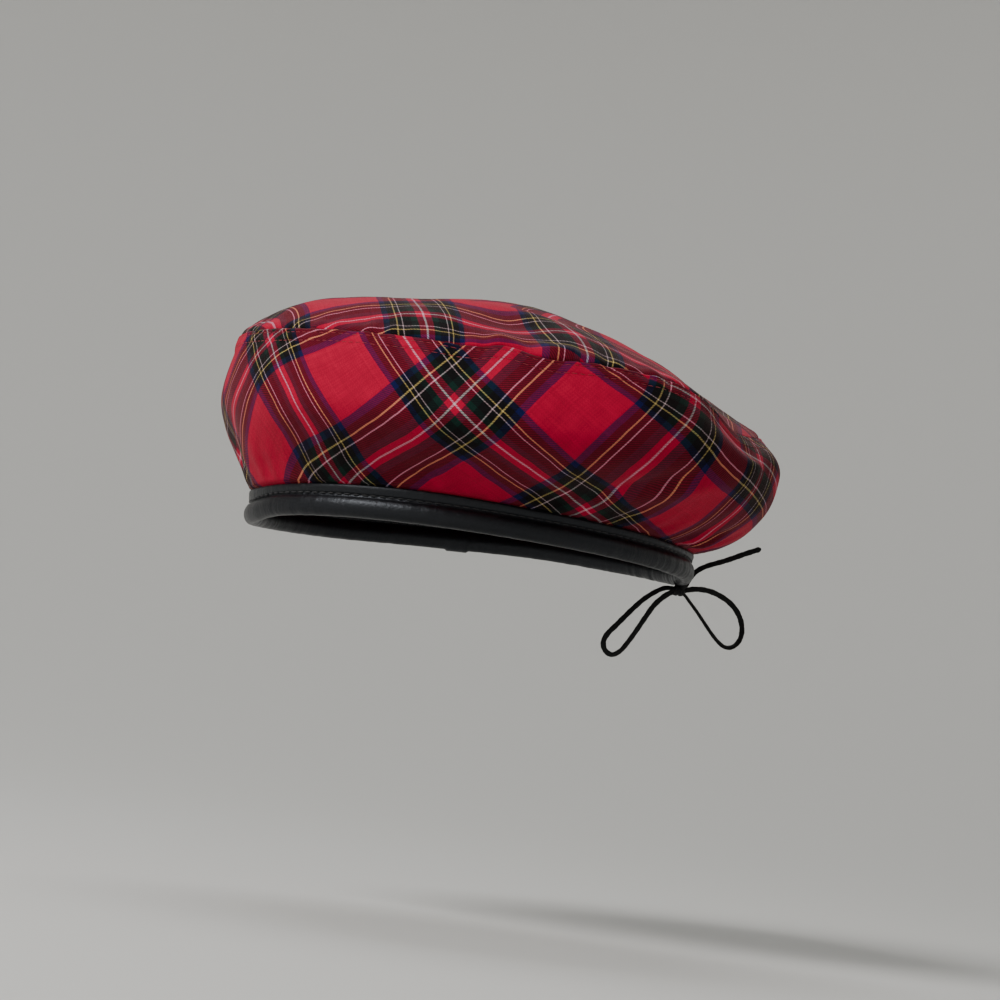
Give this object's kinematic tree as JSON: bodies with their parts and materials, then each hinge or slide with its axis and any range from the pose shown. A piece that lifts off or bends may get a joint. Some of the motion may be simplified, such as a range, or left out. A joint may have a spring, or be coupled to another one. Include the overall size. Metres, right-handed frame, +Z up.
{
  "type": "tartan beret with leather headband and drawcord bow",
  "caption": "Soft red tartan beret with a round domed top, a full bulging side, a folded black leather headband and a thin black drawcord tied in a bow at the back.",
  "frame": {"origin": "middle of the head opening, at the height of the headband's lowest edge", "axes": "+Z up, -X towards the front of the hat, +X towards the back with the bow, -Y towards the wearer's left"},
  "size_m": [0.2558, 0.2417, 0.1493],
  "materials": {
    "tartan_cloth": "matt woven",
    "black_leather": "satin",
    "black_cord": "matt"
  },
  "bodies": {
    "root": {"crown_top": "tartan_cloth", "crown_side": "tartan_cloth", "headband": "black_leather", "cord_knot": "black_cord", "cord_loop_front": "black_cord", "cord_loop_back": "black_cord", "cord_end_back": "black_cord", "cord_end_far": "black_cord"}
  },
  "joints": []
}
